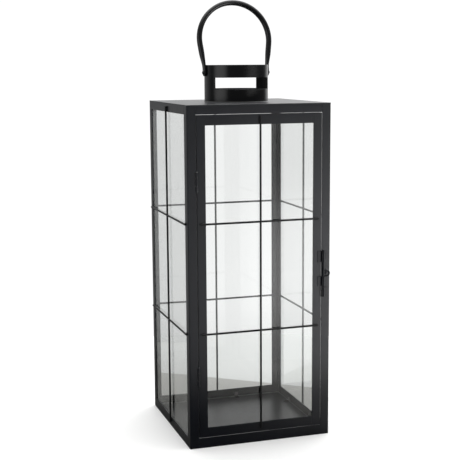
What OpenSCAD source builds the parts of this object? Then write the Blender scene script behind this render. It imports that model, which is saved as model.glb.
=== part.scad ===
// Square metal candle lantern: angle-iron frame, four glazed sides with wire glazing bars,
// a hinged front door with a sliding pin latch, a round chimney collar and a folding bail.
// Millimetres. Origin at the bottom centre, +Z up, the door faces -Y.

/* [Body] */
// Width and depth of the square body
body_w = 220; // [190:1:260]
// Height of the body, ground to top plate
body_h = 505; // [460:1:560]
// Width of the corner posts and of the top rails, as seen on each face
flange_w = 13.6; // [12:0.1:15]
// Height of the bottom rails
bottom_rail_h = 15.3; // [14:0.1:18]
// Thickness of the posts and rails
sheet_t = 1; // [0.8:0.1:1]
// Thickness of the floor and top plates
plate_t = 1.2; // [1:0.1:1.4]
// Radius of the vent hole under the chimney
vent_r = 42; // [30:1:44]

/* [Chimney] */
// Outer radius of the chimney collar
collar_r = 48.6; // [48:0.1:49]
// Wall thickness of the collar
collar_t = 1.2; // [1:0.1:1.4]
// Height of the collar above the top plate
collar_h = 55.4; // [54:0.1:58]
// Bottom of the two vent windows, above the top plate
window_z = 19.5; // [14:0.5:22]
// Height of the vent windows
window_h = 17; // [10:0.5:17]
// Angle that each window covers
window_angle = 117.2; // [60:0.2:120]

/* [Door] */
// Gap between the door and the frame
door_gap = 0.8; // [0.7:0.1:1.2]
// Width of the door's upright bars
stile_w = 13; // [12:0.1:15]
// Height of the door's cross bars
door_rail_h = 14.7; // [13:0.1:16]
// Thickness of the door's bars
door_t = 1; // [0.8:0.1:1.2]
// Depth of the door bars' legs, which turn inwards
door_leg = 10; // [6:0.5:12]

/* [Glass] */
// Thickness of the panes
glass_t = 2; // [1.8:0.1:2]
// How far the door's pane laps behind the bars
glass_lap = 5.4; // [4.5:0.1:5.4]
// Distance of the clips from the middle of the back pane
clip_x = 32; // [20:0.5:60]
// Distance of the clips from the middle of the side panes
clip_side_x = 55; // [20:0.5:80]

/* [Wires] */
// Diameter of the wires
wire_d = 3; // [2:0.1:3]
// Heights of the two cross wires
wire_z = [172.3, 334.6];
// Half length of the cross wires on the fixed sides
wire_half_side = 102; // [98:1:104]
// Half length of the cross wires on the door
wire_half_door = 91; // [86:1:91]

/* [Hinges] */
// Diameter of the hinge barrels
barrel_d = 3.5; // [3.4:0.1:3.6]
// Length of each hinge
hinge_len = 28; // [24:1:36]
// Middle heights of the lower and the upper hinge
hinge_z = [109, 396];
// Diameter of the hinge pins
hinge_pin_d = 1.6; // [1.4:0.1:1.7]

/* [Latch] */
// Distance of the latch pin from the middle of the front
latch_x = 99; // [98.6:0.1:99.4]
// Diameter of the latch knuckles
knuckle_d = 5.3; // [5:0.1:5.4]
// Diameter of the sliding pin
latch_pin_d = 2.84; // [2.4:0.02:2.84]
// Angle that the latch handle points out from the front
handle_turn = 20; // [10:1:45]

/* [Bail] */
// Radius of the bail's arch
bail_r = 55.4; // [54:0.1:58]
// Height of the arch's centre above the rivets
bail_rise = 50.5; // [45:0.5:55]
// Thickness of the bail's bar
bail_t = 7.4; // [5:0.1:7.6]
// Width of the bail's bar
bail_w = 11; // [9:0.5:11]
// Angle that the bail leans back
bail_lean = 8.6; // [0:0.2:20]

/* [Hidden] */
$fn = 64;

black = [0.10, 0.10, 0.11];
black_gloss = [0.06, 0.06, 0.07];
clear = [0.80, 0.88, 0.88, 0.35];
cut = 1;                                     // how far cutters run past a face

half = body_w / 2;
inner = half - sheet_t;                      // inner face of the posts and rails
rail_half = half - flange_w;                 // half length of the rails
plate_z = body_h - plate_t;                  // underside of the top plate
collar_top = body_h + collar_h;

door_half = rail_half - door_gap;
door_bottom = bottom_rail_h + door_gap;
door_top = body_h - flange_w - door_gap;
door_back = -half + door_t;                  // back of the bars' flanges
pane_half = door_half - stile_w + glass_lap;
pane_bottom = door_bottom + door_rail_h - glass_lap;
pane_top = door_top - door_rail_h + glass_lap;
pane_play = 0.2;                             // room around the fixed panes
pane_front_room = 1.2;                       // room between the side panes and the front posts

clip_w = 6;
clip_t = 0.8;
clip_leg = 8;                                // length of both legs of a fixed pane's tab
door_clip_w = 8;
door_clip_foot = 5;                          // part of a door tab that is welded to the bar
door_clip_lip = 4;                           // part of a door tab that laps the pane
door_clip_z = [150, 350];

wire_r = wire_d / 2;
wire_end_side = [7, 500];                    // ends of the upright wires on the fixed sides
wire_end_door = [21.4, 488];

hinge_x = -(rail_half + door_half) / 2;
barrel_r = barrel_d / 2;
hinge_pin_r = hinge_pin_d / 2;
leaf_t = 0.8;
leaf_reach = 7.2;
barrel_play = 0.35;                          // room around the barrels in the frame and door
barrel_room = barrel_r + barrel_play;
knuckle_play = 0.3;                          // room between the knuckles
door_knuckle_h = 12;                         // length of the door's knuckle
pin_fit = 0.05;                              // radial clearance of the turning and sliding pins

knuckle_r = knuckle_d / 2;
knuckle_lift = 0.25;                         // room between the knuckles and the post's face
latch_y = -half - knuckle_lift - knuckle_r;
latch_pin_r = latch_pin_d / 2;
keeper_z = [216.1, 230.9];
knuckle_middle_z = [232.2, 246.8];
knuckle_upper_z = [268.6, 285.6];
latch_leaf_in = 90;                          // inner edge of the leaves on the door's bar
keeper_leaf_out = 106;
latch_pin_z = [221.6, 284];
handle_wire_r = 1.2;
handle_play = 0.1;                           // room under the handle at rest
handle_low_z = knuckle_middle_z[1] + handle_play + handle_wire_r;
handle_bend_r = 3.95;
handle_arm = 4.3;                            // straight length of the handle's arms

rivet_up = 44;                               // height of the rivets above the top plate
rivet_z = body_h + rivet_up;
rivet_r = 1.75;
rivet_head_r = 3.5;
rivet_head_h = 2.3;
rivet_head_play = 0.1;                       // room between the bail and the rivet's head
rivet_tail_r = 3;
rivet_tail_h = 1.4;
rivet_tail_play = 0.2;                       // room between the collar and the rivet's flat tail
bail_in = collar_r + 0.3;                    // inner face of the bail's flat ends
bail_end_t = 2.8;
bail_out = bail_in + bail_end_t;
bail_splay = 8;                              // angle of the bail's legs
leg_top = [bail_r * cos(bail_splay), bail_rise - bail_r * sin(bail_splay)];
leg_foot = 7;                                // height of the legs' feet above the rivets
leg_len = (leg_top[1] - leg_foot) / cos(bail_splay);
leg_lap = 2;                                 // how far a leg runs into the arch
leg_inset = 0.08;                            // keeps the leg's skin just inside the arch's
flush_h = 26;                                // the legs' inner sides are straight up to here
end_h = 10;                                  // height of the flat ends above the rivets
taper_foot = 9;                              // height where the legs start to thicken outwards
taper_rise = 30;                             // height over which they gain a bar's thickness

// ---- shared shapes ----

module flat_bar(x_half, y_low, y_high, z_low, z_high) {
    translate([-x_half, y_low, z_low])
        cube([2 * x_half, y_high - y_low, z_high - z_low]);
}

// An L-shaped post in the corner towards +X, +Y.
module corner_post() {
    translate([rail_half, rail_half, 0])
        difference() {
            cube([flange_w, flange_w, plate_z]);
            translate([-cut, -cut, -cut])
                cube([flange_w - sheet_t + cut, flange_w - sheet_t + cut, plate_z + 2 * cut]);
        }
}

// A rail on the back face, turned about Z for the other faces.
module rail(z_low, z_high, turn) {
    rotate([0, 0, turn])
        flat_bar(rail_half, inner, half, z_low, z_high);
}

module top_rail(turn) {
    color(black) rail(body_h - flange_w, plate_z, turn);
}

module bottom_rail(turn) {
    color(black) rail(0, bottom_rail_h, turn);
}

// One bent tab on the floor behind the back pane.
module glass_clip() {
    y_face = inner - glass_t;
    translate([-clip_w / 2, y_face - clip_t, plate_t])
        cube([clip_w, clip_t, clip_leg]);
    translate([-clip_w / 2, y_face - clip_leg, plate_t])
        cube([clip_w, clip_leg, clip_t]);
}

// Two tabs on the floor and two under the top plate.
module clip_set(from_middle, turn) {
    color(black)
        rotate([0, 0, turn])
            for (x = [-from_middle, from_middle]) {
                translate([x, 0, 0]) glass_clip();
                translate([x, 0, body_h]) mirror([0, 0, 1]) glass_clip();
            }
}

module upright_wire(z_ends) {
    translate([0, half + wire_r, z_ends[0]])
        cylinder(r = wire_r, h = z_ends[1] - z_ends[0]);
}

module cross_wire(half_len, z) {
    translate([-half_len, half + wire_r, z])
        rotate([0, 90, 0]) cylinder(r = wire_r, h = 2 * half_len);
}

// Three wires welded flush where they cross, on the back face.
module wire_grid(half_len, z_ends, turn) {
    color(black)
        rotate([0, 0, turn]) {
            upright_wire(z_ends);
            for (z = wire_z) cross_wire(half_len, z);
        }
}

// Space that a hinge barrel needs in the edge of the post or the door.
module barrel_slot() {
    for (z = hinge_z)
        translate([hinge_x - barrel_room, -half - barrel_room, z - hinge_len / 2 - barrel_play])
            cube([2 * barrel_room, 2 * barrel_room, hinge_len + 2 * barrel_play]);
}

// A vertical tube, or a pin where the bore is 0.
module tube(r_out, r_bore, z_low, z_high) {
    translate([0, 0, z_low])
        difference() {
            cylinder(r = r_out, h = z_high - z_low);
            if (r_bore > 0)
                translate([0, 0, -cut]) cylinder(r = r_bore, h = z_high - z_low + 2 * cut);
        }
}

// ---- frame ----

module floor_plate() {
    color(black) translate([-inner, -inner, 0]) cube([2 * inner, 2 * inner, plate_t]);
}

module top_plate() {
    color(black)
        difference() {
            translate([-half, -half, plate_z]) cube([body_w, body_w, plate_t]);
            translate([0, 0, plate_z - cut]) cylinder(r = vent_r, h = plate_t + 2 * cut);
        }
}

module post_back_right() {
    color(black) corner_post();
}

module post_back_left() {
    color(black) rotate([0, 0, 90]) corner_post();
}

module post_front_left() {
    color(black)
        difference() {
            rotate([0, 0, 180]) corner_post();
            barrel_slot();
        }
}

module post_front_right() {
    color(black) rotate([0, 0, 270]) corner_post();
}

module rail_top_back() top_rail(0);
module rail_top_left() top_rail(90);
module rail_top_front() top_rail(180);
module rail_top_right() top_rail(270);
module rail_bottom_back() bottom_rail(0);
module rail_bottom_left() bottom_rail(90);
module rail_bottom_front() bottom_rail(180);
module rail_bottom_right() bottom_rail(270);

// One vent window, centred on +Y.
module collar_window() {
    translate([0, 0, body_h + window_z])
        rotate([0, 0, 90 - window_angle / 2])
            rotate_extrude(angle = window_angle)
                translate([collar_r - collar_t - cut, 0])
                    square([collar_t + 2 * cut, window_h]);
}

module chimney_collar() {
    color(black_gloss)
        difference() {
            tube(collar_r, collar_r - collar_t, body_h, collar_top);
            collar_window();
            rotate([0, 0, 180]) collar_window();
            translate([-collar_r - cut, 0, rivet_z])
                rotate([0, 90, 0]) cylinder(r = rivet_r, h = 2 * (collar_r + cut));
        }
}

// A dome-headed rivet through the collar towards +X.
module bail_rivet() {
    dome_r = (pow(rivet_head_r, 2) + pow(rivet_head_h, 2)) / (2 * rivet_head_h);
    head_x = bail_out + rivet_head_play;
    tail_x = collar_r - collar_t - rivet_tail_play;
    color(black_gloss)
        translate([0, 0, rivet_z])
            rotate([0, 90, 0]) {
                translate([0, 0, tail_x]) cylinder(r = rivet_r, h = head_x - tail_x);
                translate([0, 0, tail_x - rivet_tail_h])
                    cylinder(r = rivet_tail_r, h = rivet_tail_h);
                intersection() {
                    translate([0, 0, head_x]) cylinder(r = rivet_head_r, h = rivet_head_h + cut);
                    translate([0, 0, head_x + rivet_head_h - dome_r]) sphere(r = dome_r);
                }
            }
}

module bail_rivet_right() bail_rivet();
module bail_rivet_left() mirror([1, 0, 0]) bail_rivet();

// A pane behind the left (-1) or the right (1) posts, in front of the back pane's edge.
module side_pane(side) {
    y_front = -inner + pane_front_room;
    y_back = inner - glass_t - pane_play;
    color(clear)
        translate([side > 0 ? inner - glass_t : -inner, y_front, plate_t + pane_play])
            cube([glass_t, y_back - y_front, plate_z - plate_t - 2 * pane_play]);
}

module glass_left() side_pane(-1);
module glass_right() side_pane(1);

module glass_back() {
    color(clear)
        flat_bar(inner - 2 * pane_play, inner - glass_t, inner, plate_t + pane_play, plate_z - pane_play);
}

module glass_clips_back() clip_set(clip_x, 0);
module glass_clips_left() clip_set(clip_side_x, 90);
module glass_clips_right() clip_set(clip_side_x, 270);

module wire_grid_back() wire_grid(wire_half_side, wire_end_side, 0);
module wire_grid_left() wire_grid(wire_half_side, wire_end_side, 90);
module wire_grid_right() wire_grid(wire_half_side, wire_end_side, 270);

// ---- hinges ----

// The fixed leaf: welded behind the post, with the top and bottom knuckles.
module frame_leaf(z) {
    gap_half = door_knuckle_h / 2 + knuckle_play;
    color(black_gloss)
        translate([hinge_x, -half, z])
            difference() {
                union() {
                    tube(barrel_r, 0, -hinge_len / 2, hinge_len / 2);
                    translate([-leaf_reach, sheet_t, -hinge_len / 2])
                        cube([leaf_reach, leaf_t, hinge_len]);
                }
                tube(hinge_pin_r, 0, -hinge_len, hinge_len);
                translate([-barrel_room, -barrel_d, -gap_half])
                    cube([2 * barrel_d, 2 * barrel_d, 2 * gap_half]);
            }
}

// The moving leaf: welded behind the door's bar, with the middle knuckle.
module door_leaf(z) {
    half_knuckle = door_knuckle_h / 2;
    color(black_gloss)
        translate([hinge_x, -half, z])
            difference() {
                union() {
                    tube(barrel_r, 0, -half_knuckle, half_knuckle);
                    translate([0, door_t, -half_knuckle]) cube([leaf_reach, leaf_t, 2 * half_knuckle]);
                    translate([barrel_room, door_t, -hinge_len / 2])
                        cube([leaf_reach - barrel_room, leaf_t, hinge_len]);
                }
                tube(hinge_pin_r + pin_fit, 0, -hinge_len, hinge_len);
            }
}

module hinge_pin(z) {
    color(black_gloss)
        translate([hinge_x, -half, z])
            tube(hinge_pin_r, 0, -hinge_len / 2, hinge_len / 2);
}

module hinge_lower_frame_leaf() frame_leaf(hinge_z[0]);
module hinge_upper_frame_leaf() frame_leaf(hinge_z[1]);
module hinge_lower_door_leaf() door_leaf(hinge_z[0]);
module hinge_upper_door_leaf() door_leaf(hinge_z[1]);
module hinge_lower_pin() hinge_pin(hinge_z[0]);
module hinge_upper_pin() hinge_pin(hinge_z[1]);

// ---- door ----

// The L-shaped upright bar at +X: a front flange with a leg along its outer edge.
module door_stile() {
    bar_h = door_top - door_bottom;
    translate([door_half - stile_w, -half, door_bottom]) cube([stile_w, door_t, bar_h]);
    translate([door_half - door_t, -half, door_bottom]) cube([door_t, door_leg, bar_h]);
}

module door_stile_left() {
    color(black)
        difference() {
            mirror([1, 0, 0]) door_stile();
            barrel_slot();
        }
}

module door_stile_right() {
    color(black) door_stile();
}

// An L-shaped cross bar. Its leg reaches over the stiles' flanges to their legs.
module door_rail(z_low, z_leg) {
    color(black) {
        flat_bar(door_half - stile_w, -half, door_back, z_low, z_low + door_rail_h);
        flat_bar(door_half - door_t, door_back, -half + door_leg, z_leg, z_leg + door_t);
    }
}

module door_rail_top() door_rail(door_top - door_rail_h, door_top - door_t);
module door_rail_bottom() door_rail(door_bottom, door_bottom);

module door_glass() {
    color(clear) flat_bar(pane_half, door_back, door_back + glass_t, pane_bottom, pane_top);
}

// One folded tab over the pane's +X edge, with its foot on the bar.
module door_clip() {
    riser = pane_half + 2 * pane_play;
    translate([riser, door_back, -door_clip_w / 2]) cube([door_clip_foot, clip_t, door_clip_w]);
    translate([riser, door_back, -door_clip_w / 2]) cube([clip_t, glass_t + clip_t, door_clip_w]);
    translate([riser - door_clip_lip, door_back + glass_t, -door_clip_w / 2])
        cube([door_clip_lip + clip_t, clip_t, door_clip_w]);
}

module door_glass_clips() {
    color(black)
        for (z = door_clip_z) {
            translate([0, 0, z]) door_clip();
            translate([0, 0, z]) mirror([1, 0, 0]) door_clip();
        }
}

module door_wire_grid() wire_grid(wire_half_door, wire_end_door, 180);

// ---- latch ----

// A knuckle with its leaf welded to the front of the door's right bar.
module latch_knuckle(z_ends) {
    h = z_ends[1] - z_ends[0];
    color(black_gloss)
        difference() {
            union() {
                translate([latch_x, latch_y, 0]) tube(knuckle_r, 0, z_ends[0], z_ends[1]);
                translate([latch_leaf_in, -half - leaf_t, z_ends[0]])
                    cube([door_half - latch_leaf_in, leaf_t, h]);
                translate([latch_leaf_in, -half - leaf_t, z_ends[0]])
                    cube([latch_x - latch_leaf_in, leaf_t - knuckle_lift, h]);
            }
            translate([latch_x, latch_y, 0])
                tube(latch_pin_r + pin_fit, 0, z_ends[0] - cut, z_ends[1] + cut);
        }
}

module latch_knuckle_upper() latch_knuckle(knuckle_upper_z);
module latch_knuckle_middle() latch_knuckle(knuckle_middle_z);

// The knuckle that the pin drops into, with its leaf on the post.
module latch_keeper() {
    color(black_gloss)
        difference() {
            union() {
                translate([latch_x, latch_y, 0]) tube(knuckle_r, 0, keeper_z[0], keeper_z[1]);
                translate([latch_x, -half - leaf_t, keeper_z[0]])
                    cube([keeper_leaf_out - latch_x, leaf_t, keeper_z[1] - keeper_z[0]]);
            }
            translate([latch_x, latch_y, 0])
                tube(latch_pin_r + pin_fit, 0, keeper_z[0] - cut, keeper_z[1] + cut);
        }
}

module latch_pin() {
    color(black_gloss)
        translate([latch_x, latch_y, 0])
            tube(latch_pin_r, 0, latch_pin_z[0], latch_pin_z[1]);
}

// A bent wire loop: two arms from the pin and a half-round end.
module latch_handle() {
    color(black_gloss)
        translate([latch_x, latch_y, handle_low_z + handle_bend_r])
            rotate([0, 0, -handle_turn])
                difference() {
                    union() {
                        for (side = [-1, 1])
                            translate([0, 0, side * handle_bend_r])
                                rotate([0, 90, 0]) cylinder(r = handle_wire_r, h = handle_arm);
                        translate([handle_arm, 0, 0])
                            rotate([90, 0, 0])
                                rotate([0, 0, -90])
                                    rotate_extrude(angle = 180)
                                        translate([handle_bend_r, 0]) circle(r = handle_wire_r);
                    }
                    tube(latch_pin_r, 0, -3 * handle_bend_r, 3 * handle_bend_r);
                }
}

// ---- bail ----

// Cross section of the bar: flat, with full-round edges, drawn smaller by inset all round.
module bail_section(inset) {
    square([bail_t - 2 * inset, bail_w - bail_t], center = true);
    for (side = [-1, 1])
        translate([0, side * (bail_w - bail_t) / 2]) circle(r = bail_t / 2 - inset);
}

// The +X leg, thinned to a flat end that clears the collar.
module bail_leg() {
    far = 3 * bail_in;
    inner_side = [[0, -bail_w], [bail_in, -bail_w], [bail_in, flush_h], [0, flush_h]];
    outer_side = [[bail_out, -bail_w], [bail_out, taper_foot],
        [bail_out + bail_t, taper_foot + taper_rise], [far, taper_foot], [far, -bail_w]];
    difference() {
        translate([leg_top[0], 0, leg_top[1]])
            rotate([0, bail_splay, 0])
                translate([0, 0, -leg_len])
                    linear_extrude(leg_len + leg_lap) bail_section(leg_inset);
        for (side = [inner_side, outer_side])
            translate([0, bail_w, 0])
                rotate([90, 0, 0])
                    linear_extrude(2 * bail_w) polygon(side);
    }
}

module bail_end() {
    translate([bail_in, 0, 0]) rotate([0, 90, 0]) cylinder(r = bail_w / 2, h = bail_end_t);
    translate([bail_in, -bail_w / 2, 0]) cube([bail_end_t, bail_w, end_h]);
}

module bail_side() {
    bail_leg();
    bail_end();
}

module bail() {
    color(black_gloss)
        translate([0, 0, rivet_z])
            rotate([-bail_lean, 0, 0])
                difference() {
                    union() {
                        translate([0, 0, bail_rise])
                            rotate([90, 0, 0])
                                rotate([0, 0, -bail_splay])
                                    rotate_extrude(angle = 180 + 2 * bail_splay)
                                        translate([bail_r, 0]) bail_section(0);
                        bail_side();
                        mirror([1, 0, 0]) bail_side();
                    }
                    translate([-2 * bail_in, 0, 0])
                        rotate([0, 90, 0]) cylinder(r = rivet_r + pin_fit, h = 4 * bail_in);
                }
}

floor_plate();
top_plate();
post_front_left();
post_front_right();
post_back_left();
post_back_right();
rail_top_front();
rail_top_back();
rail_top_left();
rail_top_right();
rail_bottom_front();
rail_bottom_back();
rail_bottom_left();
rail_bottom_right();
chimney_collar();
bail_rivet_left();
bail_rivet_right();
glass_left();
glass_right();
glass_back();
glass_clips_left();
glass_clips_right();
glass_clips_back();
wire_grid_left();
wire_grid_right();
wire_grid_back();
hinge_lower_frame_leaf();
hinge_upper_frame_leaf();
hinge_lower_pin();
hinge_upper_pin();
latch_keeper();
door_stile_left();
door_stile_right();
door_rail_top();
door_rail_bottom();
door_glass();
door_glass_clips();
door_wire_grid();
hinge_lower_door_leaf();
hinge_upper_door_leaf();
latch_knuckle_upper();
latch_knuckle_middle();
latch_pin();
latch_handle();
bail();
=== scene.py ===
import math

import bmesh
import bpy
from mathutils import Matrix, Vector


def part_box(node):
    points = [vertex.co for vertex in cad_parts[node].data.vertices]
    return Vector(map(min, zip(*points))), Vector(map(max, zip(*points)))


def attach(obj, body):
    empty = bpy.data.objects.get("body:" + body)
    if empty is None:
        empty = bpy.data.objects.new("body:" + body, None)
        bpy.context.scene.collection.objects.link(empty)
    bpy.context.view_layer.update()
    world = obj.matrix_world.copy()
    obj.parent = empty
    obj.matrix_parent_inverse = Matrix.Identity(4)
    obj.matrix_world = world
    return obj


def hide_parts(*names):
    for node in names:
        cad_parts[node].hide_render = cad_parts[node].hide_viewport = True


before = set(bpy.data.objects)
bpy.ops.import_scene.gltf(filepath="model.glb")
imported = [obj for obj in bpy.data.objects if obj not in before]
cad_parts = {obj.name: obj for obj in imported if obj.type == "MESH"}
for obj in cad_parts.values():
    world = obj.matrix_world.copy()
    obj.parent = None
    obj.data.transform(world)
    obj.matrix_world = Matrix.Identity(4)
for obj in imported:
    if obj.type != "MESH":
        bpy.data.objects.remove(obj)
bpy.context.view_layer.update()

MM = 0.001


# ---- sizes, from the frame and from the design's driving dimensions (metres) ----

post_low, post_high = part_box("post_back_right")
rail_low, rail_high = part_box("rail_top_back")
collar_low, collar_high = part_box("chimney_collar")
hinge_low, hinge_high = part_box("hinge_upper_pin")
stile_low, stile_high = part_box("door_stile_right")

# Body
HALF = post_high.x                      # half the width of the body
RAIL_HALF = rail_high.x                 # half the length of a rail
SHEET = rail_high.y - rail_low.y        # thickness of the bars' sheet
PLATE_BOTTOM = post_high.z              # the posts end under the top plate
POST_BEND = 1.4 * MM                    # outer radius of a post's bent corner

# Chimney collar
COLLAR_R = collar_high.x
COLLAR_T = 1.2 * MM
WINDOW_FOOT = collar_low.z + 19.5 * MM
WINDOW_TOP = collar_low.z + 36.5 * MM
COLLAR_Z = (collar_low.z, WINDOW_FOOT, WINDOW_TOP, collar_high.z)
WINDOW_BAND = COLLAR_Z.index(WINDOW_FOOT)
WINDOW_HALF = 58.6                      # half angle of a vent window, in degrees
COLLAR_STEPS = (36, 20)                 # faces round a window, and between two windows
WELD_BEAD = 1.1 * MM
WELD_LAP = 0.3 * MM                     # how far the bead runs into the collar
WELD_SINK = 0.1 * MM                    # and into the top plate

# Rivets
RIVET_Z = collar_low.z + 44 * MM
RIVET_R = 1.75 * MM
RIVET_PLAY = 0.1 * MM                   # under the head
RIVET_TAIL_PLAY = 0.2 * MM              # under the tail
RIVET_HEAD_R = 3.5 * MM
RIVET_HEAD_H = 2.3 * MM
RIVET_HEAD_EDGE = 0.15 * MM
RIVET_TAIL_R = 3.0 * MM
RIVET_TAIL_H = 1.4 * MM
RIVET_TAIL_ROUND = 0.4 * MM

# Wires and their weld spots, whose half sizes are along the side, outwards and up
WIRE_R = 1.5 * MM
WIRE_Z = (172.3 * MM, 334.6 * MM)
CROSSING_WELD = (2.0 * MM, 1.35 * MM, 2.0 * MM)
CROSSING_SINK = 0.1 * MM                # of that weld's middle from the wires' middle
LEVEL_WELD = (2.6 * MM, 1.1 * MM, 2.1 * MM)
UPRIGHT_WELD = (2.1 * MM, 1.1 * MM, 2.6 * MM)
WELD_INSET = 4.5 * MM                   # of an end's weld from the wire's tip
WELD_LIFT = 0.5 * MM                    # of its middle from the bar's face

# Door
STILE_BEND = 0.6 * MM                   # outer radius of a stile's corner
LEAST_INSIDE_BEND = 0.1 * MM
LATCH_SIDE_CLOSE = 0.5 * MM             # the latch pulls that side of the door this much closer
HINGE_X = (hinge_low.x + hinge_high.x) / 2
HINGE_Z = [sum(c.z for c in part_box(n)) / 2 for n in ("hinge_lower_pin", "hinge_upper_pin")]
HINGE_LEN = hinge_high.z - hinge_low.z
BARREL_ROOM = 2.1 * MM                  # half width of the slots for the hinge barrels
BARREL_END_ROOM = 0.35 * MM             # above and below a barrel

# Bail. Heights along its legs are from the rivets.
BAIL_IN = COLLAR_R + 0.3 * MM           # inner face of the bail's flat ends
BAIL_END_T = 2.8 * MM
BAIL_T = 7.4 * MM
BAIL_W = 11 * MM
BAIL_R = 55.4 * MM
BAIL_RISE = 50.5 * MM
BAIL_SPLAY = math.radians(8)
BAIL_LEAN = math.radians(8.6)
BAIL_TOP_U = BAIL_R * math.cos(BAIL_SPLAY)              # where the arch meets a leg: across
BAIL_TOP_V = BAIL_RISE - BAIL_R * math.sin(BAIL_SPLAY)  # and up
BAIL_GROW = (7 * MM, 25 * MM)           # height where a leg starts to thicken, and over how much
BAIL_TILT = (10 * MM, 26 * MM)          # the same for its tilt
BAIL_ROUND = (6 * MM, 26 * MM)          # and for the rounding of its corners
BAIL_EASE = 0.5 * MM                    # rounds the change from flat end to splayed leg
BAIL_END_CORNER = 0.7 * MM
BAIL_END_ANGLES = (3, 12, 22, 33, 45, 57, 70, 82)       # rings on a round end, in degrees
BAIL_LEG_STEPS = 40
BAIL_ARCH_STEPS = 72
BAIL_PLAY = 0.05 * MM                   # round the rivet

# Floor and camera
FLOOR_R = 0.55
CAMERA_PLACE = (-0.5076, -1.5547, 0.5620)
CAMERA_TURN = (17.70, 8.90, -0.37)      # yaw to the right, pitch down and roll, in degrees
SENSOR_MM = 36
LENS_MM = 83.08
NEAR_CLIP = 0.05


# ---- mesh helpers ----

def new_object(name, mesh):
    obj = bpy.data.objects.new(name, mesh)
    bpy.context.scene.collection.objects.link(obj)
    return obj


def object_from_bmesh(name, bm):
    bmesh.ops.recalc_face_normals(bm, faces=bm.faces)
    mesh = bpy.data.meshes.new(name)
    bm.to_mesh(mesh)
    bm.free()
    mesh.shade_smooth()
    return new_object(name, mesh)


def skin_rings(name, rings):
    """Quads between rings of points, with flat caps."""
    bm = bmesh.new()
    loops = [[bm.verts.new(p) for p in ring] for ring in rings]
    for a, b in zip(loops, loops[1:]):
        for j in range(len(a)):
            k = (j + 1) % len(a)
            bm.faces.new((a[j], a[k], b[k], b[j]))
    bm.faces.new(list(reversed(loops[0])))
    bm.faces.new(loops[-1])
    return object_from_bmesh(name, bm)


def arc(centre, radius, start, end, steps):
    """Points on an arc in the plane, angles in degrees."""
    found = []
    for i in range(steps + 1):
        a = math.radians(start + (end - start) * i / steps)
        found.append((centre[0] + radius * math.cos(a), centre[1] + radius * math.sin(a)))
    return found


def rounded_rectangle(half_a, half_b, radius, steps):
    """Outline of a rectangle with round corners, centred on the origin."""
    radius = min(radius, half_a * 0.999, half_b * 0.999)
    a, b = half_a - radius, half_b - radius
    points = []
    for centre, start in (((a, b), 0), ((-a, b), 90), ((-a, -b), 180), ((a, -b), 270)):
        points += arc(centre, radius, start, start + 90, steps)
    return points


def lathe(name, profile, place, steps):
    """Turns a profile of (radius, height) points about local Z, then places it."""
    rings = []
    for i in range(steps):
        a = math.tau * i / steps
        rings.append([place @ Vector((r * math.cos(a), r * math.sin(a), h)) for r, h in profile])
    bm = bmesh.new()
    loops = [[bm.verts.new(p) for p in ring] for ring in rings]
    for i in range(steps):
        a, b = loops[i], loops[(i + 1) % steps]
        for j in range(len(profile) - 1):
            bm.faces.new((a[j], a[j + 1], b[j + 1], b[j]))
    bmesh.ops.remove_doubles(bm, verts=bm.verts, dist=1e-7)
    return object_from_bmesh(name, bm)


def ball(radii, centre):
    bm = bmesh.new()
    bmesh.ops.create_uvsphere(bm, u_segments=16, v_segments=10, radius=1)
    bmesh.ops.transform(bm, matrix=Matrix.Translation(centre) @ Matrix.Diagonal((*radii, 1)), verts=bm.verts)
    return object_from_bmesh("ball", bm)


def block(low, high):
    bm = bmesh.new()
    bmesh.ops.create_cube(bm, size=1)
    size = Vector(high) - Vector(low)
    move = Matrix.Translation((Vector(high) + Vector(low)) / 2) @ Matrix.Diagonal((*size, 1))
    bmesh.ops.transform(bm, matrix=move, verts=bm.verts)
    return object_from_bmesh("block", bm)


def combine(obj, others, operation):
    """Joins or cuts closed meshes exactly, and removes the tools."""
    for other in others:
        step = obj.modifiers.new("combine", "BOOLEAN")
        step.operation = operation
        step.solver = "EXACT"
        step.object = other
    bpy.context.view_layer.update()
    mesh = bpy.data.meshes.new_from_object(obj.evaluated_get(bpy.context.evaluated_depsgraph_get()))
    obj.modifiers.clear()
    obj.data = mesh
    for other in others:
        bpy.data.objects.remove(other)
    mesh.shade_smooth()
    return obj


def soften(obj, width, segments=2, angle=35):
    """Rounds the edges sharper than the angle and evens the shading."""
    edges = obj.modifiers.new("edges", "BEVEL")
    edges.width = width
    edges.segments = segments
    edges.limit_method = "ANGLE"
    edges.angle_limit = math.radians(angle)
    edges.use_clamp_overlap = True
    obj.modifiers.new("shading", "WEIGHTED_NORMAL").keep_sharp = False
    return obj


def add_piece(obj, body, slot, material, *nodes):
    """Puts a finished piece on its body, in the place of the CAD nodes that it stands for."""
    obj.data.materials.clear()
    obj.data.materials.append(material)
    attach(obj, body)
    if nodes:
        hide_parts(*nodes)
    return obj


def keep_node(node, material, width, segments=2):
    """Keeps a CAD node's shape, with its edges rounded and a finished material."""
    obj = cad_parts[node]
    if obj.data.materials:
        obj.data.materials[0] = material
    else:
        obj.data.materials.append(material)
    weld = obj.modifiers.new("weld", "WELD")
    weld.merge_threshold = 1e-6
    return soften(obj, width, segments)


# ---- shader helpers ----

def node_tree(name):
    material = bpy.data.materials.new(name)
    material.use_nodes = True
    tree = material.node_tree
    return material, tree, tree.nodes["Principled BSDF"]


def noise(tree, coords, scale, detail, seed):
    tex = tree.nodes.new("ShaderNodeTexNoise")
    tex.noise_dimensions = "4D"
    tex.inputs["Scale"].default_value = scale
    tex.inputs["Detail"].default_value = detail
    tex.inputs["W"].default_value = seed
    tree.links.new(coords, tex.inputs["Vector"])
    return tex.outputs["Fac"]


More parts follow.
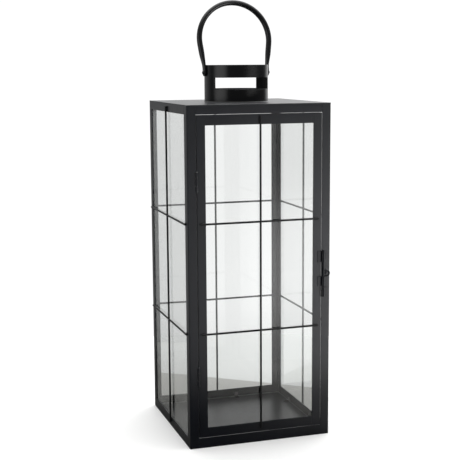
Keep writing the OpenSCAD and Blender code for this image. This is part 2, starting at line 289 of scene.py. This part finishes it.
def map_range(tree, value, start, end, low, high, interpolation="LINEAR"):
    node = tree.nodes.new("ShaderNodeMapRange")
    node.interpolation_type = interpolation
    for key, number in (("From Min", start), ("From Max", end), ("To Min", low), ("To Max", high)):
        node.inputs[key].default_value = number
    tree.links.new(value, node.inputs["Value"])
    return node.outputs["Result"]


def spread(tree, value, low, high):
    """Maps the middle of a noise to a range."""
    return map_range(tree, value, 0.3, 0.7, low, high)


def blend(tree, value, limits):
    """0 at the first limit, 1 at the second, and even between them."""
    return map_range(tree, value, *limits, 0, 1)


def ramp(tree, value, limits, low, high):
    """Goes smoothly from one number at the first limit to another at the second."""
    return map_range(tree, value, *limits, low, high, "SMOOTHSTEP")


def math_node(tree, operation, first, second):
    node = tree.nodes.new("ShaderNodeMath")
    node.operation = operation
    tree.links.new(first, node.inputs[0])
    tree.links.new(second, node.inputs[1])
    return node.outputs["Value"]


def dot_product(tree, vector, direction):
    node = tree.nodes.new("ShaderNodeVectorMath")
    node.operation = "DOT_PRODUCT"
    node.inputs[1].default_value = direction
    tree.links.new(vector, node.inputs[0])
    return node.outputs["Value"]


def length(tree, vector):
    node = tree.nodes.new("ShaderNodeVectorMath")
    node.operation = "LENGTH"
    tree.links.new(vector, node.inputs[0])
    return node.outputs["Value"]


def split(tree, vector):
    node = tree.nodes.new("ShaderNodeSeparateXYZ")
    tree.links.new(vector, node.inputs["Vector"])
    return node.outputs


def mix_tones(tree, factor, first, second):
    """Mixes two colours, each a plain one or another node's."""
    node = tree.nodes.new("ShaderNodeMix")
    node.data_type = "RGBA"
    tree.links.new(factor, node.inputs["Factor"])
    for key, value in (("A", first), ("B", second)):
        if isinstance(value, tuple):
            node.inputs[key].default_value = (*value, 1)
        else:
            tree.links.new(value, node.inputs[key])
    return node.outputs["Result"]


def ray_switch(tree, kind, others, kind_value):
    """Gives one colour to rays of a kind, and another to the rest."""
    path = tree.nodes.new("ShaderNodeLightPath")
    return mix_tones(tree, path.outputs[kind], others, kind_value)


def bump(tree, height, strength, distance):
    node = tree.nodes.new("ShaderNodeBump")
    node.inputs["Strength"].default_value = strength
    node.inputs["Distance"].default_value = distance
    tree.links.new(height, node.inputs["Height"])
    return node.outputs["Normal"]


# ---- materials ----

def powder_coat(name, tone, roughness, seed, peel, gloss):
    """Baked black paint: fine orange peel, faint cloudiness and a slightly uneven sheen."""
    material, tree, shader = node_tree(name)
    coords = tree.nodes.new("ShaderNodeTexCoord").outputs["Object"]
    grain = noise(tree, coords, scale=1500, detail=2, seed=seed)
    clouds = noise(tree, coords, scale=28, detail=4, seed=seed + 1)
    smears = noise(tree, coords, scale=70, detail=5, seed=seed + 2)
    dark = tuple(c * 0.8 for c in tone)
    light = tuple(c * 1.25 for c in tone)
    tree.links.new(mix_tones(tree, spread(tree, clouds, 0, 1), dark, light), shader.inputs["Base Color"])
    tree.links.new(spread(tree, smears, roughness - 0.02, roughness + 0.025), shader.inputs["Roughness"])
    tree.links.new(bump(tree, grain, peel, 0.02 * MM), shader.inputs["Normal"])
    shader.inputs["Specular IOR Level"].default_value = gloss
    return material


def float_glass(name, seed):
    """Clear glass with a faint wave in it and a grey-green tint that shows at its edges."""
    material, tree, shader = node_tree(name)
    coords = tree.nodes.new("ShaderNodeTexCoord").outputs["Object"]
    wave = noise(tree, coords, scale=9, detail=2, seed=seed)
    film = noise(tree, coords, scale=40, detail=4, seed=seed + 1)
    tree.links.new(bump(tree, wave, 0.25, 0.4 * MM), shader.inputs["Normal"])
    tree.links.new(spread(tree, film, 0.0, 0.03), shader.inputs["Roughness"])
    shader.inputs["Base Color"].default_value = (1, 1, 1, 1)
    shader.inputs["IOR"].default_value = 1.5
    shader.inputs["Transmission Weight"].default_value = 1
    body = tree.nodes.new("ShaderNodeVolumeAbsorption")
    body.inputs["Color"].default_value = (0.55, 0.80, 0.68, 1)
    body.inputs["Density"].default_value = 16
    tree.links.new(body.outputs["Volume"], tree.nodes["Material Output"].inputs["Volume"])
    return material


def ground_edge(name, seed):
    """The pane's arrises, ground matt and whitish."""
    material, tree, shader = node_tree(name)
    coords = tree.nodes.new("ShaderNodeTexCoord").outputs["Object"]
    grit = noise(tree, coords, scale=900, detail=3, seed=seed)
    tone = mix_tones(tree, spread(tree, grit, 0, 1), (0.25, 0.28, 0.27), (0.38, 0.41, 0.40))
    tree.links.new(tone, shader.inputs["Base Color"])
    tree.links.new(bump(tree, grit, 0.3, 0.03 * MM), shader.inputs["Normal"])
    shader.inputs["Roughness"].default_value = 0.6
    return material


FRAME_BLACK = (0.0026, 0.0036, 0.0068)
PLATE_BLACK = (0.0105, 0.0115, 0.0145)
WIRE_BLACK = (0.004, 0.0042, 0.0048)
CLIP_GREY = (0.10, 0.10, 0.10)
HARDWARE_BLACK = (0.0026, 0.0034, 0.0062)
COLLAR_BLACK = (0.004, 0.0042, 0.0047)
INSIDE_BLACK = (0.003, 0.003, 0.0033)
BAIL_BLACK = (0.005, 0.0052, 0.0058)

FRAME_PAINT = powder_coat("frame_powder_coat", FRAME_BLACK, roughness=0.30, seed=1, peel=0.3, gloss=0.48)
DOOR_PAINT = powder_coat("door_powder_coat", FRAME_BLACK, roughness=0.30, seed=4, peel=0.3, gloss=0.48)
PLATE_PAINT = powder_coat("plate_powder_coat", PLATE_BLACK, roughness=0.33, seed=7, peel=0.1, gloss=0.45)
WIRE_PAINT = powder_coat("wire_powder_coat", WIRE_BLACK, roughness=0.38, seed=10, peel=0.2, gloss=0.3)
CLIP_PAINT = powder_coat("clip_powder_coat", CLIP_GREY, roughness=0.26, seed=13, peel=0.2, gloss=0.5)
HARDWARE_PAINT = powder_coat("hardware_powder_coat", HARDWARE_BLACK, roughness=0.30, seed=16, peel=0.2,
                             gloss=0.40)
COLLAR_PAINT = powder_coat("collar_powder_coat", COLLAR_BLACK, roughness=0.21, seed=19, peel=0.2, gloss=0.42)
# Dark matt paint: the thin coat inside the collar, and painted shade on the stiles' sides that face the
# posts
INSIDE_PAINT = powder_coat("inside_coat_and_gap_shade", INSIDE_BLACK, roughness=0.55, seed=25, peel=0.3, gloss=0.12)
BAIL_PAINT = powder_coat("bail_powder_coat", BAIL_BLACK, roughness=0.30, seed=22, peel=0.12, gloss=0.42)
GLASS = float_glass("float_glass", seed=30)
GROUND_EDGE = ground_edge("ground_glass_edge", seed=33)


# ---- frame: posts, rails and plates ----

def make_post(name, turn):
    """Angle-iron post with a bent outer corner, drawn at +X +Y and turned into place."""
    inside = POST_BEND - SHEET
    corner = HALF - POST_BEND
    outline = [(RAIL_HALF, HALF)]
    outline += arc((corner, corner), POST_BEND, 90, 0, 6)
    outline += [(HALF, RAIL_HALF), (HALF - SHEET, RAIL_HALF)]
    outline += arc((corner, corner), inside, 0, 90, 4)
    outline += [(RAIL_HALF, HALF - SHEET)]
    spin = Matrix.Rotation(math.radians(turn), 4, "Z")
    rings = [[spin @ Vector((x, y, z)) for x, y in outline] for z in (post_low.z, PLATE_BOTTOM)]
    return skin_rings(name, rings)


def barrel_slots():
    """Blocks that cut the hinge barrels' room out of the bars beside them."""
    tall = HINGE_LEN / 2 + BARREL_END_ROOM
    return [block((HINGE_X - BARREL_ROOM, -HALF - BARREL_ROOM, z - tall),
                  (HINGE_X + BARREL_ROOM, -HALF + BARREL_ROOM, z + tall)) for z in HINGE_Z]


def make_frame():
    for corner, turn in (("back_right", 0), ("back_left", 90), ("front_left", 180), ("front_right", 270)):
        node = "post_" + corner
        post = make_post("angle_" + node, turn)
        if corner == "front_left":
            combine(post, barrel_slots(), "DIFFERENCE")
        soften(post, width=0.22 * MM, angle=50)
        add_piece(post, "frame", "frame_metal", FRAME_PAINT, node)
    for side in ("front", "back", "left", "right"):
        keep_node("rail_top_" + side, FRAME_PAINT, width=0.25 * MM)
        keep_node("rail_bottom_" + side, FRAME_PAINT, width=0.25 * MM)
    keep_node("floor_plate", PLATE_PAINT, width=0.2 * MM)
    keep_node("top_plate", PLATE_PAINT, width=0.35 * MM)


# ---- chimney collar ----

def collar_columns():
    """Angles round the collar, each with whether a window follows it."""
    columns = []
    window_steps, solid_steps = COLLAR_STEPS
    for middle in (-90, 90):
        for i in range(window_steps):
            columns.append((middle - WINDOW_HALF + 2 * WINDOW_HALF * i / window_steps, True))
        for i in range(solid_steps):
            columns.append((middle + WINDOW_HALF + (180 - 2 * WINDOW_HALF) * i / solid_steps, False))
    return columns


def make_collar_tube():
    """Rolled tube with a vent window in front and behind."""
    angles = collar_columns()
    bm = bmesh.new()
    columns = []
    for a, _ in angles:
        x = COLLAR_R * math.cos(math.radians(a))
        y = COLLAR_R * math.sin(math.radians(a))
        columns.append([bm.verts.new((x, y, z)) for z in COLLAR_Z])
    for i, (_, in_window) in enumerate(angles):
        a, b = columns[i], columns[(i + 1) % len(angles)]
        for j in range(len(COLLAR_Z) - 1):
            if not (in_window and j == WINDOW_BAND):
                bm.faces.new((a[j], b[j], b[j + 1], a[j + 1]))
    tube = object_from_bmesh("collar_tube", bm)
    wall = tube.modifiers.new("wall", "SOLIDIFY")
    wall.thickness = COLLAR_T
    wall.offset = -1
    wall.use_even_offset = True
    wall.material_offset = 1
    soften(tube, width=0.3 * MM, segments=3, angle=40)
    add_piece(tube, "frame", "collar_metal", COLLAR_PAINT, "chimney_collar")
    tube.data.materials.append(INSIDE_PAINT)


def make_collar_weld():
    """The bead round the collar's foot."""
    foot = collar_low.z
    profile = [(COLLAR_R - WELD_LAP, foot - WELD_SINK)]
    profile += [(COLLAR_R + x, foot + z) for x, z in arc((WELD_BEAD, WELD_BEAD), WELD_BEAD, 270, 180, 5)]
    profile += [(COLLAR_R - WELD_LAP, foot + WELD_BEAD)]
    profile += [profile[0]]
    weld = lathe("collar_weld", profile, Matrix.Identity(4), 112)
    add_piece(weld, "frame", "collar_metal", COLLAR_PAINT)


def make_rivets():
    """Dome-headed rivets through the collar and the bail's ends."""
    head_x = BAIL_IN + BAIL_END_T + RIVET_PLAY
    tail_x = COLLAR_R - COLLAR_T - RIVET_TAIL_PLAY
    tail_end = tail_x - RIVET_TAIL_H
    dome_r = (RIVET_HEAD_R ** 2 + RIVET_HEAD_H ** 2) / (2 * RIVET_HEAD_H)
    rim = math.degrees(math.asin(RIVET_HEAD_R / dome_r))
    round_middle = (RIVET_TAIL_R - RIVET_TAIL_ROUND, tail_end + RIVET_TAIL_ROUND)
    profile = [(0, tail_end)]
    profile += arc(round_middle, RIVET_TAIL_ROUND, 270, 360, 3)
    profile += [(RIVET_TAIL_R, tail_x), (RIVET_R, tail_x), (RIVET_R, head_x)]
    profile += [(RIVET_HEAD_R - RIVET_HEAD_EDGE, head_x)]
    profile += arc((0, head_x + RIVET_HEAD_H - dome_r), dome_r, 90 - rim, 90, 10)
    for side, name in ((1, "right"), (-1, "left")):
        place = Matrix.Translation((0, 0, RIVET_Z)) @ Matrix.Rotation(math.radians(90 * side), 4, "Y")
        rivet = lathe("dome_rivet_" + name, profile, place, 40)
        add_piece(rivet, "frame", "bail_metal", BAIL_PAINT, "bail_rivet_" + name)


# ---- glass ----

def make_glass():
    """Panes with ground edges, and the folded tabs that hold them."""
    for node in ("glass_left", "glass_right", "glass_back", "door_glass"):
        pane = keep_node(node, GLASS, width=0.5 * MM, segments=1)
        pane.data.materials.append(GROUND_EDGE)
        pane.modifiers["edges"].material = 1
    for node in ("glass_clips_left", "glass_clips_right", "glass_clips_back", "door_glass_clips"):
        keep_node(node, CLIP_PAINT, width=0.15 * MM)


# ---- wires ----

def rod(start, end, radius, name="rod"):
    """Round wire with softly rounded ends."""
    start = Vector(start)
    end = Vector(end)
    along = (end - start).normalized()
    turn = along.to_track_quat("Z", "Y").to_matrix().to_4x4()
    reach = (end - start).length
    round_end = 0.45 * radius
    flat_r = radius - round_end
    profile = [(0, 0)] + arc((flat_r, round_end), round_end, 270, 360, 4)
    profile += arc((flat_r, reach - round_end), round_end, 0, 90, 4) + [(0, reach)]
    return lathe(name, profile, Matrix.Translation(start) @ turn, 20)


def make_wire_grid(name, node, body, turn, half_len):
    """Three wires welded flush at their crossings, with a weld spot under each end."""
    low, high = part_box(node)
    y = HALF + WIRE_R
    weld_y = HALF + WELD_LIFT
    grid = rod((0, y, low.z), (0, y, high.z), WIRE_R, name)
    others = [rod((-half_len, y, z), (half_len, y, z), WIRE_R) for z in WIRE_Z]
    others += [ball(CROSSING_WELD, (0, y - CROSSING_SINK, z)) for z in WIRE_Z]
    weld_x = half_len - WELD_INSET
    others += [ball(LEVEL_WELD, (x, weld_y, z)) for x in (-weld_x, weld_x) for z in WIRE_Z]
    others += [ball(UPRIGHT_WELD, (0, weld_y, z)) for z in (low.z + WELD_INSET, high.z - WELD_INSET)]
    combine(grid, others, "UNION")
    grid.data.transform(Matrix.Rotation(math.radians(turn), 4, "Z"))
    soften(grid, width=0.12 * MM, angle=50)
    add_piece(grid, body, "wire_metal", WIRE_PAINT, node)


def make_wires():
    side_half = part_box("wire_grid_back")[1].x
    door_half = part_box("door_wire_grid")[1].x
    make_wire_grid("glazing_wires_back", "wire_grid_back", "frame", 0, side_half)
    make_wire_grid("glazing_wires_left", "wire_grid_left", "frame", 90, side_half)
    make_wire_grid("glazing_wires_right", "wire_grid_right", "frame", 270, side_half)
    make_wire_grid("glazing_wires_door", "door_wire_grid", "door", 180, door_half)


# ---- door, hinges and latch ----

def bent_bar(name, width, leg, start, end):
    """Angle bar along local Z: the flange lies along -X, the leg along +Y from the bent corner."""
    inside = max(STILE_BEND - SHEET, LEAST_INSIDE_BEND)
    outline = [(-width, 0)] + arc((-STILE_BEND, STILE_BEND), STILE_BEND, 270, 360, 6)
    outline += [(0, leg), (-SHEET, leg)]
    outline += arc((-SHEET - inside, SHEET + inside), inside, 360, 270, 4) + [(-width, SHEET)]
    return skin_rings(name, [[Vector((x, y, z)) for x, y in outline] for z in (start, end)])


def paint_gap_shade(bar):
    """Gives the side of a stile that faces the post the dark matt inside paint, as painted shade in the gap.
    """
    bar.data.materials.append(INSIDE_PAINT)
    for face in bar.data.polygons:
        outer = abs(face.center.x) > stile_high.x - SHEET / 2
        if outer and abs(face.normal.x) > 0.99:
            face.material_index = 1


def make_stile(side, mirror, spread_out):
    """A stile bent to an angle, drawn wider outwards where its gap looks narrower."""
    width = stile_high.x - stile_low.x + spread_out
    leg = stile_high.y - stile_low.y
    bar = bent_bar("bent_stile_" + side, width, leg, stile_low.z, stile_high.z)
    move = Matrix.Translation((mirror * (stile_high.x + spread_out), stile_low.y, 0))
    bar.data.transform(move @ Matrix.Diagonal((mirror, 1, 1, 1)))
    if mirror < 0:
        bar.data.flip_normals()
        combine(bar, barrel_slots(), "DIFFERENCE")
    soften(bar, width=0.2 * MM, angle=50)
    add_piece(bar, "door", "door_metal", DOOR_PAINT, "door_stile_" + side)
    paint_gap_shade(bar)


def make_door():
    """Two stiles, with the cross bars' flanges butted between them."""
    make_stile("right", 1, LATCH_SIDE_CLOSE)
    make_stile("left", -1, 0)
    for node in ("door_rail_top", "door_rail_bottom"):
        keep_node(node, DOOR_PAINT, width=0.3 * MM, segments=3)


def make_hardware():
    for place in ("lower", "upper"):
        for part in ("frame_leaf", "door_leaf", "pin"):
            keep_node(f"hinge_{place}_{part}", HARDWARE_PAINT, width=0.15 * MM)
    for node in ("latch_keeper", "latch_knuckle_upper", "latch_knuckle_middle", "latch_pin"):
        keep_node(node, HARDWARE_PAINT, width=0.25 * MM)
    keep_node("latch_handle", HARDWARE_PAINT, width=0.1 * MM)


# ---- bail ----

def growth(v, change):
    """Smooth change along a leg, from 0 to 1: change is its start and its length."""
    start, reach = change
    x = min(1.0, max(0.0, (v - start) / reach))
    return x * x * (3 - 2 * x)


def bail_leg_section(v):
    """Centre, thickness and half width of the right leg at height v above the rivet."""
    grow = growth(v, BAIL_GROW)
    thick = BAIL_END_T + (BAIL_T - BAIL_END_T) * grow
    line = BAIL_TOP_U - (BAIL_TOP_V - v) * math.tan(BAIL_SPLAY)
    flat = BAIL_IN + thick / 2
    gap = line - flat
    centre = (line + flat + math.sqrt(gap * gap + BAIL_EASE * BAIL_EASE)) / 2 - BAIL_EASE / 2 * (1 - grow)
    half_w = BAIL_W / 2
    if v < 0:
        half_w = math.sqrt(max(0.0, half_w ** 2 - v ** 2))
    return max(centre, flat), thick, half_w


def bail_ring(u, v, angle, thick, half_w, corner):
    """One section's outline, at (u, v) from the rivets and turned by an angle, on the leaning bail."""
    lean = Matrix.Translation((0, 0, RIVET_Z)) @ Matrix.Rotation(-BAIL_LEAN, 4, "X")
    across = Vector((math.cos(angle), 0, math.sin(angle)))
    centre = Vector((u, 0, v))
    return [lean @ (centre + across * a + Vector((0, b, 0)))
            for a, b in rounded_rectangle(thick / 2, half_w, corner, 6)]


def bail_right_half():
    """Rings from the right leg's round end up to the top of the arch."""
    rings = []
    heights = [-BAIL_W / 2 * math.cos(math.radians(a)) for a in BAIL_END_ANGLES]
    heights += [i / BAIL_LEG_STEPS * BAIL_TOP_V for i in range(BAIL_LEG_STEPS)]
    for v in heights:
        u, thick, half_w = bail_leg_section(v)
        tilt = BAIL_SPLAY * growth(v, BAIL_TILT)
        corner = BAIL_END_CORNER + (BAIL_T / 2 - BAIL_END_CORNER) * growth(v, BAIL_ROUND)
        rings.append(bail_ring(u, v, -tilt, thick, half_w, corner))
    sweep = math.pi + 2 * BAIL_SPLAY
    for i in range(BAIL_ARCH_STEPS // 2 + 1):
        a = -BAIL_SPLAY + sweep * i / BAIL_ARCH_STEPS
        u = BAIL_R * math.cos(a)
        v = BAIL_RISE + BAIL_R * math.sin(a)
        rings.append(bail_ring(u, v, a, BAIL_T, BAIL_W / 2, BAIL_T / 2))
    return rings


def make_bail():
    """Oval bar bent to a horseshoe, its ends pressed flat and rounded, leaning back on the rivets."""
    rings = bail_right_half()
    mirrored = [[Vector((-p.x, p.y, p.z)) for p in ring] for ring in reversed(rings[:-1])]
    bail = skin_rings("bail_bar", rings + mirrored)
    reach = BAIL_IN + 2 * BAIL_T
    hole_r = RIVET_R + BAIL_PLAY
    hole = [(0, -reach), (hole_r, -reach), (hole_r, reach), (0, reach)]
    place = Matrix.Translation((0, 0, RIVET_Z)) @ Matrix.Rotation(math.radians(90), 4, "Y")
    combine(bail, [lathe("bail_hole", hole, place, 32)], "DIFFERENCE")
    soften(bail, width=0.15 * MM, angle=55)
    add_piece(bail, "bail", "bail_metal", BAIL_PAINT, "bail")


# ---- stage: camera, floor and light ----

def make_camera():
    """A long lens at the height of the chimney, to the left of the front."""
    yaw, pitch, roll = (math.radians(a) for a in CAMERA_TURN)
    ahead = Vector((math.sin(yaw) * math.cos(pitch), math.cos(yaw) * math.cos(pitch), -math.sin(pitch)))
    level = Vector((math.cos(yaw), -math.sin(yaw), 0))
    upright = level.cross(ahead)
    right = level * math.cos(roll) + upright * math.sin(roll)
    up = upright * math.cos(roll) - level * math.sin(roll)
    data = bpy.data.cameras.new("camera")
    data.sensor_width = SENSOR_MM
    data.lens = LENS_MM
    data.clip_start = NEAR_CLIP
    camera = bpy.data.objects.new("camera", data)
    bpy.context.scene.collection.objects.link(camera)
    turn = Matrix((right, up, -ahead)).transposed().to_4x4()
    camera.matrix_world = Matrix.Translation(CAMERA_PLACE) @ turn
    bpy.context.scene.camera = camera


# The floor as the lens sees it, as it shows through the panes, and as the metal reflects it
PAPER_TONES = ((0.86, 0.86, 0.855), (0.89, 0.89, 0.885))
TABLE_TONE = (0.31, 0.307, 0.295)
WALL_TONE = (0.505, 0.51, 0.505)                    # the wall's foot, past the table's back edge
TABLE_EDGE_NORMAL = (0.612, 0.791, 0)               # across that edge
TABLE_EDGE = (199 * MM, 203 * MM)                   # it lies between these distances from the axis
TABLE_FADE = (300 * MM, 480 * MM)                   # the rest of the table fades out between these
# Painted sheen: floor tones that only reflected rays see, standing in for the light the metal and panes
# mirror
SHEEN_IN_FRONT = ((0.02, 0.02, 0.019), (0.40, 0.39, 0.37))          # from left to right
SHEEN_FAR_IN_FRONT = ((0.05, 0.05, 0.048), (0.88, 0.87, 0.85))      # the same, farther away
SHEEN_BESIDE = (0.10, 0.098, 0.092)
LEFT_TO_RIGHT = (-60 * MM, 160 * MM)                # where the sheen changes, along X
FRONT_TO_SIDE = (-200 * MM, -60 * MM)               # and along Y
NEAR_TO_FAR = (-300 * MM, -460 * MM)

# Light that the metal and the panes reflect: direction, full and fading angles, strength
GLOWS = [
    ((0.18, 0.15, 0.95), 25, 70, 2.6),              # overhead softbox, a little behind to the right
    ((-0.98, -0.22, -0.05), 8, 32, 1.3),            # reflector on the left
    ((-0.35, 0.93, 0.05), 12, 40, 0.20),            # wall behind, on the left
    ((0.62, 0.78, 0.10), 12, 38, 0.85),             # wall behind, on the right
]
LOW_SOFTBOX = ((0.66, -0.67, -0.31), 12, 30, 7.2)   # softbox in front, low on the right
WALL_SHADE = ((-0.35, 0.93, -0.1), 10, 28, 0.6)     # darker patch of the wall, where a pane mirrors it
ROOM_TONES = (0.08, 0.12)                           # the room below and above the horizon
WHITE_WALL = (0.84, 0.94)                           # the wall's foot and the wall, through the panes
PLAIN_WHITE = (1.05, 1.05, 1.05)                    # behind the lantern, as the lens sees it
# Heights where these fade, as sines of the elevation
ROOM_FADE = (-0.4, 0.1)
WALL_FADE = (-0.30, -0.19)
SOFTBOX_TOP_FADE = (-0.16, -0.08)
SOFTBOX_FOOT_FADE = (-0.28, -0.19)
SOFTBOX_FOOT = 0.35                                 # what is left of the softbox's light at its foot


def floor_through_panes(tree, coords):
    """A beige table up to its back edge, and the pale wall's foot behind it."""
    table = mix_tones(tree, blend(tree, length(tree, coords), TABLE_FADE), TABLE_TONE, WALL_TONE)
    depth = dot_product(tree, coords, TABLE_EDGE_NORMAL)
    return mix_tones(tree, blend(tree, depth, TABLE_EDGE), table, WALL_TONE)


def floor_in_reflections(tree, coords):
    """Painted sheen of the table in the floor's colour for reflected rays: dark in front on the left, bright
    on the right, and dim beside the lantern.
    """
    place = split(tree, coords)
    rightwards = blend(tree, place["X"], LEFT_TO_RIGHT)
    near_tone = mix_tones(tree, rightwards, *SHEEN_IN_FRONT)
    far_tone = mix_tones(tree, rightwards, *SHEEN_FAR_IN_FRONT)
    in_front = mix_tones(tree, blend(tree, place["Y"], NEAR_TO_FAR), near_tone, far_tone)
    return mix_tones(tree, blend(tree, place["Y"], FRONT_TO_SIDE), in_front, SHEEN_BESIDE)


def pale_floor():
    """White paper, with painted sheen in what the metal reflects and the table's tones in what the panes let
    through.
    """
    material, tree, shader = node_tree("floor_paper")
    coords = tree.nodes.new("ShaderNodeTexCoord").outputs["Object"]
    fibres = spread(tree, noise(tree, coords, scale=3, detail=3, seed=5), 0, 1)
    seen = mix_tones(tree, fibres, *PAPER_TONES)
    # reflected rays see the painted sheen
    seen = ray_switch(tree, "Is Glossy Ray", seen, floor_in_reflections(tree, coords))
    seen = ray_switch(tree, "Is Transmission Ray", seen, floor_through_panes(tree, coords))
    tree.links.new(seen, shader.inputs["Base Color"])
    shader.inputs["Roughness"].default_value = 0.8
    shader.inputs["Specular IOR Level"].default_value = 0.1
    return material


def make_floor():
    bm = bmesh.new()
    bmesh.ops.create_circle(bm, cap_ends=True, segments=96, radius=FLOOR_R)
    floor = object_from_bmesh("floor", bm)
    floor.data.materials.append(pale_floor())


def glow(tree, coords, towards, inner, outer, strength):
    """A soft round patch of light in the sky: full inside one angle, gone outside the other."""
    toward = dot_product(tree, coords, Vector(towards).normalized())
    limits = (math.cos(math.radians(outer)), math.cos(math.radians(inner)))
    return ramp(tree, toward, limits, 0, strength)


def reflected_studio(tree, coords, height):
    """The room's tone with the soft patches of light, and the low softbox cut off at its top and foot."""
    total = ramp(tree, height, ROOM_FADE, *ROOM_TONES)
    for patch in GLOWS:
        total = math_node(tree, "ADD", total, glow(tree, coords, *patch))
    low_box = glow(tree, coords, *LOW_SOFTBOX)
    low_box = math_node(tree, "MULTIPLY", low_box, ramp(tree, height, SOFTBOX_FOOT_FADE, SOFTBOX_FOOT, 1))
    low_box = math_node(tree, "MULTIPLY", low_box, ramp(tree, height, SOFTBOX_TOP_FADE, 1, 0))
    return math_node(tree, "ADD", total, low_box)


def wall_through_panes(tree, coords, height):
    """The pale wall. The darker patch is only for light that a pane or the metal has mirrored."""
    mirrored = tree.nodes.new("ShaderNodeLightPath").outputs["Glossy Depth"]
    shade = math_node(tree, "MULTIPLY", glow(tree, coords, *WALL_SHADE), ramp(tree, mirrored, (0, 1), 0, 1))
    return math_node(tree, "SUBTRACT", ramp(tree, height, WALL_FADE, *WHITE_WALL), shade)


def make_light():
    """A white studio with soft patches of light. The lens sees plain white behind the lantern."""
    world = bpy.data.worlds.new("studio")
    bpy.context.scene.world = world
    world.use_nodes = True
    tree = world.node_tree
    coords = tree.nodes.new("ShaderNodeTexCoord").outputs["Generated"]
    height = split(tree, coords)["Z"]
    studio = reflected_studio(tree, coords, height)
    tone = ray_switch(tree, "Is Transmission Ray", studio, wall_through_panes(tree, coords, height))
    tone = ray_switch(tree, "Is Camera Ray", tone, PLAIN_WHITE)
    tree.links.new(tone, tree.nodes["Background"].inputs["Color"])
    tree.nodes["Background"].inputs["Strength"].default_value = 1
    bpy.context.scene.view_settings.view_transform = "Standard"


make_camera()
make_floor()
make_light()
make_frame()
make_collar_tube()
make_collar_weld()
make_rivets()
make_glass()
make_wires()
make_door()
make_hardware()
make_bail()
